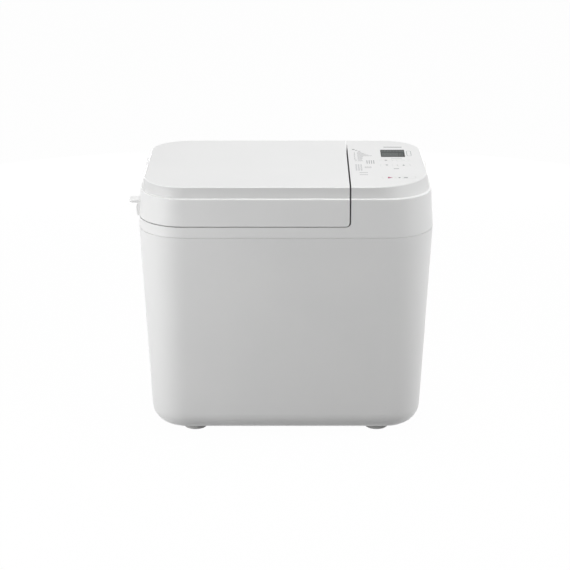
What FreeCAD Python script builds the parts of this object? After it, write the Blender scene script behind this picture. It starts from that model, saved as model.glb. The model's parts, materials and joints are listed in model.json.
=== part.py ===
import FreeCAD, Part
import math
import os
import Sketcher
from FreeCAD import Placement, Rotation, Vector

# Bread machine, millimetres. X runs to the right, Y to the back and Z up from the feet.
# Positions below are measured from the middle of the housing, and every piece is shifted
# sideways by half of the lid grip's reach, so that the whole machine is centred on X = 0.

SIZES = {
    # housing
    "housing_width": 397.6, "housing_depth": 255.6, "housing_corner": 61.8,
    "foot_height": 7.0, "seam_height": 292.4, "seam_gap": 0.8, "seam_step": 1.2,
    "body_draft": 2.93, "bottom_round": 28.0, "wall": 3.0,
    # lid and control block, from the lid's lower edge to the top face
    "lid_edge": 307.9, "lid_gap": 1.2, "ledge_height": 344.8, "top_height": 359.6,
    "rim_draft": 3.28, "ledge_width": 6.5, "band_draft": 7.5, "top_round": 1.6, "ledge_round": 0.8,
    "split_x": 85.4, "split_gap": 2.0, "lid_corner": 5.5,
    "deck_drop": 2.0, "deck_thick": 3.0, "flange_width": 9.0,
    # grip on the lid's left side
    "grip_reach": 12.0, "grip_length": 20.0, "grip_thick": 2.8, "grip_top": 329.0, "grip_y": -66.0,
    "boss_out": 2.6,
    # lid hinge
    "hinge_round": 13.0, "hinge_clear": 1.0, "hinge_left": -112.0, "hinge_right": 40.0,
    "bracket_width": 12.0, "bracket_radius": 8.0, "hinge_notch": 13.0, "pin_radius": 3.0, "pin_length": 40.0,
    "running_fit": 0.05, "free_gap": 0.4,
    # liner under the lid
    "liner_sheet": 1.2, "liner_lift": 0.8, "dome_width": 220.0, "dome_depth": 170.0,
    "dome_top": 339.0, "dome_corner": 16.0, "steam_hole": 2.0,
    # oven chamber
    "oven_x": -55.0, "oven_y": -5.0, "oven_width": 220.0, "oven_depth": 170.0, "oven_corner": 14.0,
    "oven_floor": 82.0, "sheet": 1.2, "oven_flange": 8.0, "mouth_margin": 2.0,
    "tube_radius": 3.5, "heater_width": 196.0, "heater_depth": 148.0, "heater_height": 96.0,
    "heater_bend": 24.0, "terminal_spread": 16.0, "terminal_reach": 26.0,
    "sensor_radius": 3.0, "sensor_height": 150.0, "sensor_reach": 14.0,
    # bread pan
    "pan_top": 240.0, "pan_floor": 100.0, "pan_width": 172.0, "pan_depth": 132.0, "pan_corner": 18.0,
    "pan_wall": 2.0, "pan_rim": 4.0, "rim_thick": 2.4, "pan_draft": 2.0, "pan_round": 10.0,
    "pan_foot_radius": 45.0, "pan_foot_wall": 3.0, "pan_foot_gap": 0.3,
    "pivot_height": 229.0, "bail_half": 94.0, "bail_reach": 77.5, "bail_bend": 16.0,
    "bail_wire": 2.2, "bail_drop": 24.0, "bail_grip": 5.0, "bail_grip_length": 80.0, "ear_width": 12.0,
    # kneading blade and drive
    "blade_bore": 4.1, "blade_shaft": 4.0, "blade_hub": 10.0, "blade_low": 108.0, "blade_high": 148.0,
    "blade_reach": 46.0, "blade_thick": 5.0, "bush_radius": 9.0, "seal_radius": 8.0,
    "dog_radius": 13.0, "drive_shaft": 6.0, "bearing_radius": 13.0,
    "pulley_radius": 55.0, "pulley_low": 30.0, "pulley_high": 45.0, "belt_thick": 2.5, "belt_gap": 0.3,
    "motor_x": 124.0, "motor_y": -5.0, "motor_radius": 38.0, "motor_low": 66.0, "motor_high": 142.0,
    "motor_pulley": 9.0, "motor_shaft": 4.0,
    "chassis_low": 58.0, "chassis_thick": 2.0, "leg_radius": 6.0,
    # underside
    "foot_x": 126.0, "foot_y": 72.5, "foot_low": 15.5, "foot_slope": 18.0, "foot_round": 1.5,
    "base_width": 250.0, "base_depth": 108.0, "base_corner": 14.0, "base_thick": 2.5,
    "screw_shank": 1.6, "screw_head": 3.4, "screw_hole": 1.8,
    # control panel
    "window_x": 148.8, "window_y": 48.9, "window_size": 33.5, "window_thick": 1.6, "window_step": 2.0,
    "button_length": 17.0, "button_depth": 10.0, "button_corner": 2.5, "button_proud": 0.1,
    "button_lip": 1.5, "lip_thick": 1.0, "button_gap": 0.25,
    "board_level": 347.0, "board_thick": 1.6, "switch_radius": 2.6, "switch_top": 354.2,
    "lamp_x": 152.5, "lamp_y": -71.6, "lamp_radius": 1.6,
    "gland_x": 140.0, "gland_height": 44.0, "gland_radius": 8.0, "gland_bore": 4.0,
}

BUTTONS = {
    "menu_button": (138.0, 13.2),
    "option_button": (161.4, 13.2),
    "down_button": (138.0, -10.8),
    "up_button": (161.4, -10.8),
    "start_button": (138.0, -71.6),
    "stop_button": (165.4, -71.6),
}

doc = FreeCAD.newDocument("bread_machine")
dims = doc.addObject("Spreadsheet::Sheet", "dims")
for row, (alias, value) in enumerate(SIZES.items(), start=1):
    dims.set(f"A{row}", str(value))
    dims.setAlias(f"A{row}", alias)
doc.recompute()

SHIFT = "dims.grip_reach / 2"
RING_LOW = "(dims.seam_height + dims.seam_gap / 2)"
RING_TOP = "(dims.lid_edge - dims.lid_gap)"
DECK_TOP = "(dims.lid_edge - dims.lid_gap - dims.deck_drop)"
DECK_LOW = "(dims.lid_edge - dims.lid_gap - dims.deck_drop - dims.deck_thick)"
LID_RIGHT = "(dims.split_x - dims.split_gap / 2)"
PANEL_LEFT = "(dims.split_x + dims.split_gap / 2)"
HINGE_Y = "(dims.housing_depth / 2 - dims.hinge_round)"
HINGE_Z = "(dims.lid_edge + dims.hinge_round)"
PAN_DROP = "(dims.pan_top - dims.pan_floor)"
nodes = {}


# Helpers

def number(expression):
    return float(dims.evalExpression(str(expression)))


def new_body(name):
    nodes[name] = doc.addObject("PartDesign::Body", name)
    return nodes[name]


def new_sketch(body, name, plane, x, y, z):
    """A sketch on one of the three origin planes, moved to a point of the housing."""
    sketch = body.newObject("Sketcher::SketchObject", name)
    support = [f for f in body.Origin.OriginFeatures if f.Role == plane + "_Plane"][0]
    sketch.AttachmentSupport = [(support, "")]
    sketch.MapMode = "FlatFace"
    across = f"{x} + {SHIFT}"
    offsets = {"XY": (across, y, z), "XZ": (across, z, f"-({y})"), "YZ": (y, z, across)}[plane]
    for axis, expression in zip("xyz", offsets):
        sketch.setExpression(f".AttachmentOffset.Base.{axis}", str(expression))
    return sketch


def rule(sketch, kind, *places_and_size):
    """A driving constraint whose last argument is the expression that gives its size."""
    *places, expression = places_and_size
    index = sketch.addConstraint(Sketcher.Constraint(kind, *places, number(expression)))
    sketch.setExpression(f"Constraints[{index}]", str(expression))


def tie(sketch, kind, *places):
    sketch.addConstraint(Sketcher.Constraint(kind, *places))


def line(x0, y0, x1, y1):
    return Part.LineSegment(Vector(x0, y0, 0), Vector(x1, y1, 0))


def arc(x, y, radius, start_degrees, span_degrees=90.0):
    circle = Part.Circle(Vector(x, y, 0), Vector(0, 0, 1), radius)
    start = math.radians(start_degrees)
    return Part.ArcOfCircle(circle, start, start + math.radians(span_degrees))


def rounded_rectangle(body, name, plane, width, height, radius, x="0", y="0", z="0"):
    sketch = new_sketch(body, name, plane, x, y, z)
    a, b, r = number(width) / 2, number(height) / 2, number(radius)
    sketch.addGeometry([
        line(r - a, -b, a - r, -b), arc(a - r, r - b, r, -90),
        line(a, r - b, a, b - r), arc(a - r, b - r, r, 0),
        line(a - r, b, r - a, b), arc(r - a, b - r, r, 90),
        line(-a, b - r, -a, r - b), arc(r - a, r - b, r, 180)], False)
    for index in range(8):
        tie(sketch, "Tangent", index, 2, (index + 1) % 8, 1)
    for index, kind in ((0, "Horizontal"), (2, "Vertical"), (4, "Horizontal"), (6, "Vertical")):
        tie(sketch, kind, index)
    for index in (1, 3, 5):
        tie(sketch, "Equal", index, index + 2)
    tie(sketch, "Symmetric", 0, 1, 4, 1, -1, 1)
    rule(sketch, "DistanceX", 6, 1, 2, 1, width)
    rule(sketch, "DistanceY", 0, 1, 4, 1, height)
    rule(sketch, "Radius", 1, radius)
    return sketch


def side_outline(body, name, flat_x, round_x, front_y, rear_y, radius, z):
    """A plan outline with one straight end and two rounded corners at the other end."""
    sketch = new_sketch(body, name, "XY", "0", "0", z)
    flat, far, front, rear, r = [number(e) for e in (flat_x, round_x, front_y, rear_y, radius)]
    to_right = far > flat
    inner = far - r if to_right else far + r
    first = arc(inner, front + r, r, -90 if to_right else 180)
    second = arc(inner, rear - r, r, 0 if to_right else 90)
    sketch.addGeometry([
        line(flat, front, inner, front), first, line(far, front + r, far, rear - r), second,
        line(inner, rear, flat, rear), line(flat, rear, flat, front)], False)
    near, away = (1, 2) if to_right else (2, 1)
    tie(sketch, "Tangent", 0, 2, 1, near)
    tie(sketch, "Tangent", 1, away, 2, 1)
    tie(sketch, "Tangent", 2, 2, 3, near)
    tie(sketch, "Tangent", 3, away, 4, 1)
    tie(sketch, "Coincident", 4, 2, 5, 1)
    tie(sketch, "Coincident", 5, 2, 0, 1)
    for index, kind in ((0, "Horizontal"), (2, "Vertical"), (4, "Horizontal"), (5, "Vertical")):
        tie(sketch, kind, index)
    tie(sketch, "Equal", 1, 3)
    rule(sketch, "Radius", 1, radius)
    rule(sketch, "DistanceX", -1, 1, 5, 1, flat_x)
    rule(sketch, "DistanceX", -1, 1, 2, 1, round_x)
    rule(sketch, "DistanceY", -1, 1, 0, 1, front_y)
    rule(sketch, "DistanceY", -1, 1, 4, 1, rear_y)
    return sketch


def polygon(body, name, plane, corners, x="0", y="0", z="0"):
    """A closed outline of straight lines whose corners are given as expressions."""
    sketch = new_sketch(body, name, plane, x, y, z)
    points = [(number(u), number(v)) for u, v in corners]
    count = len(points)
    for index in range(count):
        sketch.addGeometry(line(*points[index], *points[(index + 1) % count]), False)
    for index in range(count):
        tie(sketch, "Coincident", index, 2, (index + 1) % count, 1)
    for index, (u, v) in enumerate(corners):
        rule(sketch, "DistanceX", -1, 1, index, 1, u)
        rule(sketch, "DistanceY", -1, 1, index, 1, v)
    return sketch


def circles(body, name, plane, radius, centres, x="0", y="0", z="0"):
    sketch = new_sketch(body, name, plane, x, y, z)
    for index, (u, v) in enumerate(centres):
        middle = Vector(number(u), number(v), 0)
        sketch.addGeometry(Part.Circle(middle, Vector(0, 0, 1), number(radius)), False)
        rule(sketch, "DistanceX", -1, 1, index, 3, u)
        rule(sketch, "DistanceY", -1, 1, index, 3, v)
        rule(sketch, "Radius", index, radius)
    return sketch


def circle(body, name, plane, radius, x="0", y="0", z="0"):
    sketch = new_sketch(body, name, plane, x, y, z)
    sketch.addGeometry(Part.Circle(Vector(0, 0, 0), Vector(0, 0, 1), number(radius)), False)
    tie(sketch, "Coincident", 0, 3, -1, 1)
    rule(sketch, "Radius", 0, radius)
    return sketch


def ring(body, name, plane, outer, inner, x="0", y="0", z="0"):
    sketch = new_sketch(body, name, plane, x, y, z)
    for index, radius in enumerate((outer, inner)):
        sketch.addGeometry(Part.Circle(Vector(0, 0, 0), Vector(0, 0, 1), number(radius)), False)
        tie(sketch, "Coincident", index, 3, -1, 1)
        rule(sketch, "Radius", index, radius)
    return sketch


def pad(body, sketch, length, along=1, taper=None, symmetric=False):
    feature = body.newObject("PartDesign::Pad", sketch.Name + "_pad")
    feature.Profile = sketch
    feature.setExpression("Length", str(length))
    feature.Reversed = along < 0
    if symmetric:
        feature.SideType = "Symmetric"
    if taper:
        feature.setExpression("TaperAngle", taper)
    return feature


def pocket(body, sketch, length, along=1, taper=None, symmetric=False):
    feature = body.newObject("PartDesign::Pocket", sketch.Name + "_cut")
    feature.Profile = sketch
    feature.setExpression("Length", str(length))
    feature.Reversed = along > 0
    if symmetric:
        feature.SideType = "Symmetric"
    if taper:
        feature.setExpression("TaperAngle", taper)
    return feature


def repeat(body, feature, direction, length, count):
    """Repeat a feature in a row along one of the body's axes."""
    row = body.newObject("PartDesign::LinearPattern", feature.Name + "_row")
    row.Originals = [feature]
    axis = [f for f in body.Origin.OriginFeatures if f.Role == direction + "_Axis"][0]
    row.Direction = (axis, [""])
    row.setExpression("Length", str(length))
    row.Occurrences = count
    body.Tip = row
    return row


def fillet(body, name, radius, wanted):
    doc.recompute()
    base = body.Tip
    edges = [f"Edge{i}" for i, edge in enumerate(base.Shape.Edges, start=1) if wanted(edge.BoundBox)]
    feature = body.newObject("PartDesign::Fillet", name)
    feature.Base = (base, edges)
    feature.setExpression("Radius", radius)
    return feature


def carve(body, core):
    """Take another body's solid away from this one."""
    doc.recompute()
    feature = body.newObject("PartDesign::Boolean", core.Name + "_carve")
    feature.setObjects([core])
    feature.Type = "Cut"
    return feature


def at_height(box, height, slack=0.02):
    return abs(box.ZMin - height) < slack and abs(box.ZMax - height) < slack


def set_place(thing, x, y, z, rotation=None):
    if rotation:
        thing.Placement = Placement(Vector(0, 0, 0), rotation)
    for axis, expression in zip("xyz", (f"{x} + {SHIFT}", y, z)):
        thing.setExpression(f"Placement.Base.{axis}", str(expression))


def cylinder(name, radius, length, x, y, z, rotation=None):
    thing = doc.addObject("Part::Cylinder", name)
    thing.setExpression("Radius", str(radius))
    thing.setExpression("Height", str(length))
    set_place(thing, x, y, z, rotation)
    return thing


def block(name, width, depth, height, x, y, z):
    thing = doc.addObject("Part::Box", name)
    for side, expression in zip(("Length", "Width", "Height"), (width, depth, height)):
        thing.setExpression(side, str(expression))
    set_place(thing, f"{x} - ({width}) / 2", f"{y} - ({depth}) / 2", z)
    return thing


def fuse(name, *things):
    joined = doc.addObject("Part::MultiFuse", name)
    joined.Shapes = list(things)
    return joined


def cut(name, base, tool):
    result = doc.addObject("Part::Cut", name)
    result.Base = base
    result.Tool = tool
    return result


def group(name, *things):
    nodes[name] = doc.addObject("Part::Compound", name)
    nodes[name].Links = list(things)
    return nodes[name]


def screw(name, x, y, head_z, length, head_height="2.0", head_up=False):
    """A pan-head screw: the head starts at head_z and the shank points away from it."""
    if head_up:
        head = cylinder(name + "_head", "dims.screw_head", head_height, x, y, head_z)
        shank = cylinder(name + "_shank", "dims.screw_shank", length, x, y, f"{head_z} - {length}")
    else:
        head = cylinder(name + "_head", "dims.screw_head", head_height, x, y, f"{head_z} - {head_height}")
        shank = cylinder(name + "_shank", "dims.screw_shank", length, x, y, head_z)
    return fuse(name, head, shank)


def rim_inset(height):
    """How far the slightly drafted rim has moved in at this height."""
    return f"((({height}) - {RING_LOW}) * tan(dims.rim_draft))"


# Housing

BASE_SCREWS = [(f"{sx} * (dims.base_width / 2 - 10)", f"{sy} * (dims.base_depth / 2 - 10)")
               for sx in (-1, 1) for sy in (-1, 1)]


def make_body_shell():
    body = new_body("body_shell")
    low_edge = "(dims.seam_height - dims.seam_gap / 2)"
    outline = rounded_rectangle(body, "shell_outline", "XY", "dims.housing_width", "dims.housing_depth",
                                "dims.housing_corner", z=low_edge)
    pad(body, outline, f"{low_edge} - dims.foot_height", along=-1, taper="-dims.body_draft")
    low = number("dims.foot_height")
    fillet(body, "shell_bottom_round", "dims.bottom_round", lambda box: at_height(box, low))
    lip = rounded_rectangle(body, "shell_lip", "XY", "dims.housing_width - 2 * dims.seam_step",
                            "dims.housing_depth - 2 * dims.seam_step",
                            "dims.housing_corner - dims.seam_step", z=low_edge)
    pad(body, lip, "dims.seam_gap")
    core = doc.addObject("PartDesign::Body", "shell_core")
    hollow = rounded_rectangle(core, "shell_hollow", "XY", "dims.housing_width - 2 * dims.wall",
                               "dims.housing_depth - 2 * dims.wall",
                               "dims.housing_corner - dims.wall", z=RING_LOW)
    pad(core, hollow, f"{RING_LOW} - dims.foot_height - dims.wall", along=-1, taper="-dims.body_draft")
    floor = number("dims.foot_height + dims.wall")
    fillet(core, "shell_floor_round", "dims.bottom_round - dims.wall", lambda box: at_height(box, floor))
    carve(body, core)
    opening = rounded_rectangle(body, "base_opening", "XY", "dims.base_width - 36", "dims.base_depth - 36",
                                "dims.base_corner", z="dims.foot_height")
    pocket(body, opening, "dims.wall + 1")
    holes = circles(body, "base_screw_holes", "XY", "dims.screw_hole", BASE_SCREWS, z="dims.foot_height")
    pocket(body, holes, "dims.wall + 1")
    slot = rounded_rectangle(body, "rear_slot", "XZ", "64", "5", "2.4", x="dims.motor_x - 4",
                             y="dims.housing_depth / 2", z="96")
    repeat(body, pocket(body, slot, "30"), "Z", "60", 6)
    gland = circle(body, "gland_hole", "XZ", "dims.gland_radius", x="dims.gland_x",
                   y="dims.housing_depth / 2", z="dims.gland_height")
    pocket(body, gland, "30", along=1)


def make_underside():
    body = new_body("base_plate")
    plate = rounded_rectangle(body, "base_outline", "XY", "dims.base_width", "dims.base_depth",
                              "dims.base_corner", z="dims.foot_height - dims.base_thick")
    pad(body, plate, "dims.base_thick")
    holes = circles(body, "plate_holes", "XY", "dims.screw_hole", BASE_SCREWS,
                    z="dims.foot_height - dims.base_thick")
    pocket(body, holes, "dims.base_thick")
    slot = rounded_rectangle(body, "plate_slot", "XY", "4", "60", "1.9", x="30",
                             z="dims.foot_height - dims.base_thick")
    repeat(body, pocket(body, slot, "dims.base_thick"), "X", "70", 8)

    for depth_name, sy in (("front", -1), ("rear", 1)):
        for side_name, sx in (("left", -1), ("right", 1)):
            name = f"foot_{depth_name}_{side_name}"
            foot = new_body(name)
            sole = circle(foot, name + "_sole", "XY", "dims.foot_low", f"{sx} * dims.foot_x",
                          f"{sy} * dims.foot_y", "0")
            pad(foot, sole, "dims.foot_height", taper="dims.foot_slope")
            fillet(foot, name + "_round", "dims.foot_round", lambda box: at_height(box, 0.0))

    screws = [screw(f"base_screw_{i}", x, y, "(dims.foot_height - dims.base_thick)", "8")
              for i, (x, y) in enumerate(BASE_SCREWS)]
    group("base_screws", *screws)


def make_top_frame():
    body = new_body("top_frame")
    outline = rounded_rectangle(body, "frame_outline", "XY", "dims.housing_width", "dims.housing_depth",
                                "dims.housing_corner", z=RING_LOW)
    pad(body, outline, f"dims.ledge_height - {RING_LOW}", taper="-dims.rim_draft")
    ledge = number("dims.ledge_height")
    fillet(body, "frame_ledge_round", "dims.ledge_round", lambda box: at_height(box, ledge))
    lid_space = rounded_rectangle(body, "lid_space", "XZ", "dims.housing_width", "100",
                                  "dims.lid_corner + dims.lid_gap",
                                  x=f"{PANEL_LEFT} - dims.housing_width / 2", z=f"{RING_TOP} + 50")
    pocket(body, lid_space, "dims.housing_depth + 20", symmetric=True)
    below = rounded_rectangle(body, "frame_hollow", "XY", "dims.housing_width - 2 * dims.wall",
                              "dims.housing_depth - 2 * dims.wall", "dims.housing_corner - dims.wall",
                              z=RING_LOW)
    pocket(body, below, f"{DECK_LOW} - {RING_LOW}")
    inset = f"(dims.wall + {rim_inset('dims.ledge_height')})"
    space = side_outline(body, "block_hollow", f"{PANEL_LEFT} + dims.wall",
                         f"dims.housing_width / 2 - {inset}", f"{inset} - dims.housing_depth / 2",
                         f"dims.housing_depth / 2 - {inset}", f"dims.housing_corner - {inset}", RING_LOW)
    pocket(body, space, f"dims.ledge_height - dims.wall - {RING_LOW}")
    recess = side_outline(body, "deck_recess", f"{LID_RIGHT} - dims.lid_corner",
                          "2 * dims.wall - dims.housing_width / 2", "2 * dims.wall - dims.housing_depth / 2",
                          "dims.housing_depth / 2 - 2 * dims.wall",
                          "dims.housing_corner - 2 * dims.wall", RING_TOP)
    pocket(body, recess, "dims.deck_drop", along=-1)
    mouth = rounded_rectangle(body, "oven_mouth", "XY", "dims.oven_width + 2 * dims.mouth_margin",
                              "dims.oven_depth + 2 * dims.mouth_margin",
                              "dims.oven_corner + dims.mouth_margin", "dims.oven_x", "dims.oven_y", DECK_TOP)
    pocket(body, mouth, "dims.deck_thick + 1", along=-1)
    edge = f"({inset} + dims.flange_width)"
    wiring = side_outline(body, "panel_opening", f"{PANEL_LEFT} + dims.wall + 4",
                          f"dims.housing_width / 2 - {edge}", f"{edge} - dims.housing_depth / 2",
                          f"dims.housing_depth / 2 - {edge}", f"dims.housing_corner - {edge}",
                          "dims.ledge_height")
    pocket(body, wiring, "dims.wall + 1", along=-1)


def cap_outline(body, name):
    inset = f"({rim_inset('dims.ledge_height')} + dims.ledge_width)"
    sketch = rounded_rectangle(body, name, "XY", f"dims.housing_width - 2 * {inset}",
                               f"dims.housing_depth - 2 * {inset}", f"dims.housing_corner - {inset}",
                               z="dims.ledge_height")
    pad(body, sketch, "dims.top_height - dims.ledge_height", taper="-dims.band_draft")
    top = number("dims.top_height")
    fillet(body, name + "_round", "dims.top_round", lambda box: at_height(box, top))


def cap_hollow(body, name, flat_x, side):
    inset = f"({rim_inset('dims.ledge_height')} + dims.ledge_width + 2 * dims.wall)"
    hollow = side_outline(body, name, flat_x, f"{side} * (dims.housing_width / 2 - {inset})",
                          f"{inset} - dims.housing_depth / 2", f"dims.housing_depth / 2 - {inset}",
                          f"dims.housing_corner - {inset}", "dims.ledge_height")
    pocket(body, hollow, "dims.top_height - dims.ledge_height - dims.wall")


def half_space(body, name, edge_x, far_x):
    """Cut away everything between two X positions."""
    box = polygon(body, name, "XZ", [(edge_x, "200"), (far_x, "200"), (far_x, "400"), (edge_x, "400")])
    pocket(body, box, "dims.housing_depth + 40", symmetric=True)


BOARD_POSTS = [("110", "85"), ("110", "-85"), ("160", "76"), ("168", "-40")]


def make_control_panel():
    body = new_body("control_panel")
    cap_outline(body, "panel_cap")
    half_space(body, "panel_trim", PANEL_LEFT, "-dims.housing_width")
    cap_hollow(body, "panel_hollow", f"{PANEL_LEFT} + dims.wall", 1)
    seat = rounded_rectangle(body, "window_seat", "XY", "dims.window_size + 2 * dims.button_gap",
                             "dims.window_size + 2 * dims.button_gap", "1.2",
                             "dims.window_x", "dims.window_y", "dims.top_height")
    pocket(body, seat, "dims.window_thick", along=-1)
    view = rounded_rectangle(body, "window_view", "XY", "dims.window_size - 2 * dims.window_step",
                             "dims.window_size - 2 * dims.window_step", "1",
                             "dims.window_x", "dims.window_y", "dims.top_height")
    pocket(body, view, "dims.wall + 1", along=-1)
    for name, (x, y) in BUTTONS.items():
        hole = rounded_rectangle(body, name + "_hole", "XY", "dims.button_length + 2 * dims.button_gap",
                                 "dims.button_depth + 2 * dims.button_gap",
                                 "dims.button_corner + dims.button_gap", str(x), str(y), "dims.top_height")
        pocket(body, hole, "dims.wall + 1", along=-1)
    lamp = circle(body, "lamp_hole", "XY", "dims.lamp_radius", "dims.lamp_x", "dims.lamp_y",
                  "dims.top_height")
    pocket(body, lamp, "dims.wall + 1", along=-1)
    posts = circles(body, "board_posts", "XY", "3", BOARD_POSTS,
                    z="dims.board_level + dims.board_thick")
    pad(body, posts, "dims.top_height - dims.wall - dims.board_level - dims.board_thick")


def make_panel_inside():
    window = new_body("display_window")
    pane = rounded_rectangle(window, "window_pane", "XY", "dims.window_size", "dims.window_size", "1",
                             "dims.window_x", "dims.window_y", "dims.top_height - dims.window_thick")
    pad(window, pane, "dims.window_thick")

    display = new_body("display_module")
    cell = rounded_rectangle(display, "display_cell", "XY", "dims.window_size + 4", "dims.window_size + 4",
                             "1", "dims.window_x", "dims.window_y", "dims.board_level + dims.board_thick")
    pad(display, cell, "dims.top_height - dims.wall - 1 - dims.board_level - dims.board_thick")

    board = new_body("control_board")
    sheet = rounded_rectangle(board, "board_outline", "XY", "74", "190", "6", "139", "0",
                              "dims.board_level")
    pad(board, sheet, "dims.board_thick")
    for name, side in (("rear", 1), ("front", -1)):
        trim = polygon(board, f"board_trim_{name}", "XY", [
            ("149", f"{side} * 96"), ("178", f"{side} * 96"), ("178", f"{side} * 68")], z="dims.board_level")
        pocket(board, trim, "dims.board_thick")
    switches = circles(board, "switches", "XY", "dims.switch_radius",
                       [(str(x), str(y)) for x, y in BUTTONS.values()],
                       z="dims.board_level + dims.board_thick")
    pad(board, switches, "dims.switch_top - dims.board_level - dims.board_thick")

    lamp = new_body("start_lamp")
    lens = circle(lamp, "lamp_lens", "XY", "dims.lamp_radius - dims.running_fit", "dims.lamp_x",
                  "dims.lamp_y", "dims.board_level + dims.board_thick")
    pad(lamp, lens, "dims.top_height - dims.board_level - dims.board_thick + 0.2")
    fillet(lamp, "lamp_round", "0.6", lambda box: at_height(box, number("dims.top_height + 0.2")))

    for name, (x, y) in BUTTONS.items():
        button = new_body(name)
        lip = rounded_rectangle(button, name + "_lip", "XY", "dims.button_length + 2 * dims.button_lip",
                                "dims.button_depth + 2 * dims.button_lip",
                                "dims.button_corner + dims.button_lip", str(x), str(y),
                                "dims.top_height - dims.wall - dims.free_gap")
        pad(button, lip, "dims.lip_thick", along=-1)
        cap = rounded_rectangle(button, name + "_cap", "XY", "dims.button_length", "dims.button_depth",
                                "dims.button_corner", str(x), str(y),
                                "dims.top_height - dims.wall - dims.free_gap")
        pad(button, cap, "dims.wall + dims.free_gap + dims.button_proud")
        crown = number("dims.top_height + dims.button_proud")
        fillet(button, name + "_round", "0.25", lambda box: at_height(box, crown))


# Lid

LINER_SCREWS = [(x, y) for x in ("-185", "76") for y in ("-58", "48")]


def make_lid_frame():
    body = new_body("lid_frame")
    inset = rim_inset("dims.lid_edge")
    outline = rounded_rectangle(body, "lid_outline", "XY", f"dims.housing_width - 2 * {inset}",
                                f"dims.housing_depth - 2 * {inset}", f"dims.housing_corner - {inset}",
                                z="dims.lid_edge")
    pad(body, outline, "dims.ledge_height - dims.lid_edge", taper="-dims.rim_draft")
    ledge = number("dims.ledge_height")
    fillet(body, "lid_ledge_round", "dims.ledge_round", lambda box: at_height(box, ledge))
    swell = polygon(body, "grip_swell", "XZ", [
        ("20 - dims.housing_width / 2", "dims.lid_edge"),
        ("-dims.housing_width / 2 - dims.boss_out * 0.5", "dims.lid_edge"),
        ("-dims.housing_width / 2 - dims.boss_out", "dims.lid_edge + 6"),
        ("-dims.housing_width / 2 - dims.boss_out", "dims.lid_edge + 12"),
        ("-dims.housing_width / 2 - dims.boss_out * 0.5", "dims.grip_top - dims.grip_thick"),
        ("20 - dims.housing_width / 2", "dims.grip_top - dims.grip_thick")], y="dims.grip_y")
    pad(body, swell, "dims.grip_length", symmetric=True)
    tab = rounded_rectangle(body, "grip_tab", "XY", "32", "dims.grip_length + 2", "3",
                            "16 - dims.housing_width / 2 - dims.grip_reach", "dims.grip_y",
                            "dims.grip_top - dims.grip_thick")
    pad(body, tab, "dims.grip_thick")
    half_space(body, "lid_trim", LID_RIGHT, "dims.housing_width")
    right = number(f"{LID_RIGHT} + {SHIFT}")
    low = number("dims.lid_edge")
    fillet(body, "lid_corner_round", "dims.lid_corner",
           lambda box: at_height(box, low) and abs(box.XMin - right) < 0.02)
    trim_rear_edge(body)
    hollow_edge = f"(dims.wall + {rim_inset('dims.ledge_height')})"
    hollow = side_outline(body, "lid_hollow", f"{LID_RIGHT} - dims.wall",
                          f"{hollow_edge} - dims.housing_width / 2",
                          f"{hollow_edge} - dims.housing_depth / 2", f"{HINGE_Y} - dims.hinge_round",
                          f"dims.housing_corner - {hollow_edge}", "dims.lid_edge")
    pocket(body, hollow, "dims.ledge_height - dims.wall - dims.lid_edge")
    edge = f"({hollow_edge} + dims.flange_width)"
    opening = side_outline(body, "lid_opening", f"{LID_RIGHT} - dims.wall - dims.flange_width",
                           f"{edge} - dims.housing_width / 2", f"{edge} - dims.housing_depth / 2",
                           f"dims.housing_depth / 2 - {edge}", f"dims.housing_corner - {edge}",
                           "dims.ledge_height")
    pocket(body, opening, f"dims.ledge_height - {HINGE_Z} - dims.bracket_radius - dims.wall", along=-1)
    for name, middle in (("left", "dims.hinge_left"), ("right", "dims.hinge_right")):
        notch = polygon(body, f"hinge_notch_{name}", "XY", [
            (f"{middle} - dims.hinge_notch / 2", f"{HINGE_Y} - dims.hinge_round - 1"),
            (f"{middle} + dims.hinge_notch / 2", f"{HINGE_Y} - dims.hinge_round - 1"),
            (f"{middle} + dims.hinge_notch / 2", "dims.housing_depth"),
            (f"{middle} - dims.hinge_notch / 2", "dims.housing_depth")], z="dims.lid_edge - 1")
        pocket(body, notch, "dims.hinge_round + dims.bracket_radius + 2")
        bore = circle(body, f"hinge_bore_{name}", "YZ", "dims.pin_radius + dims.running_fit",
                      f"{middle} - dims.pin_length / 2 - 0.5", HINGE_Y, HINGE_Z)
        pocket(body, bore, "dims.pin_length + 1")
    posts = circles(body, "liner_posts", "XY", "4.5", LINER_SCREWS,
                    z="dims.lid_edge + dims.liner_lift + dims.liner_sheet")
    pad(body, posts, "dims.ledge_height - dims.lid_edge - dims.liner_lift - dims.liner_sheet - 1")
    pilots = circles(body, "liner_pilots", "XY", "dims.screw_hole", LINER_SCREWS,
                     z="dims.lid_edge + dims.liner_lift")
    pocket(body, pilots, "12")


def trim_rear_edge(body):
    """Round the rear lower edge about the hinge axis, so that the lid can swing past the ring."""
    sketch = new_sketch(body, "rear_round", "YZ", "0", HINGE_Y, HINGE_Z)
    radius = "dims.hinge_round - dims.hinge_clear"
    r = number(radius)
    far = number("2 * dims.hinge_round")
    sketch.addGeometry([arc(0, 0, r, -90), line(r, 0, far, 0), line(far, 0, far, -far),
                        line(far, -far, 0, -far), line(0, -far, 0, -r)], False)
    tie(sketch, "Coincident", 0, 3, -1, 1)
    for index in range(4):
        tie(sketch, "Coincident", index, 2, index + 1, 1)
    tie(sketch, "Coincident", 4, 2, 0, 1)
    for index, kind in ((1, "Horizontal"), (2, "Vertical"), (3, "Horizontal"), (4, "Vertical")):
        tie(sketch, kind, index)
    tie(sketch, "PointOnObject", 0, 2, -1)
    tie(sketch, "PointOnObject", 0, 1, -2)
    rule(sketch, "Radius", 0, radius)
    rule(sketch, "DistanceX", -1, 1, 2, 1, "2 * dims.hinge_round")
    rule(sketch, "DistanceY", 2, 2, -1, 1, "2 * dims.hinge_round")
    pocket(body, sketch, "2 * dims.housing_width", symmetric=True)


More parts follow.
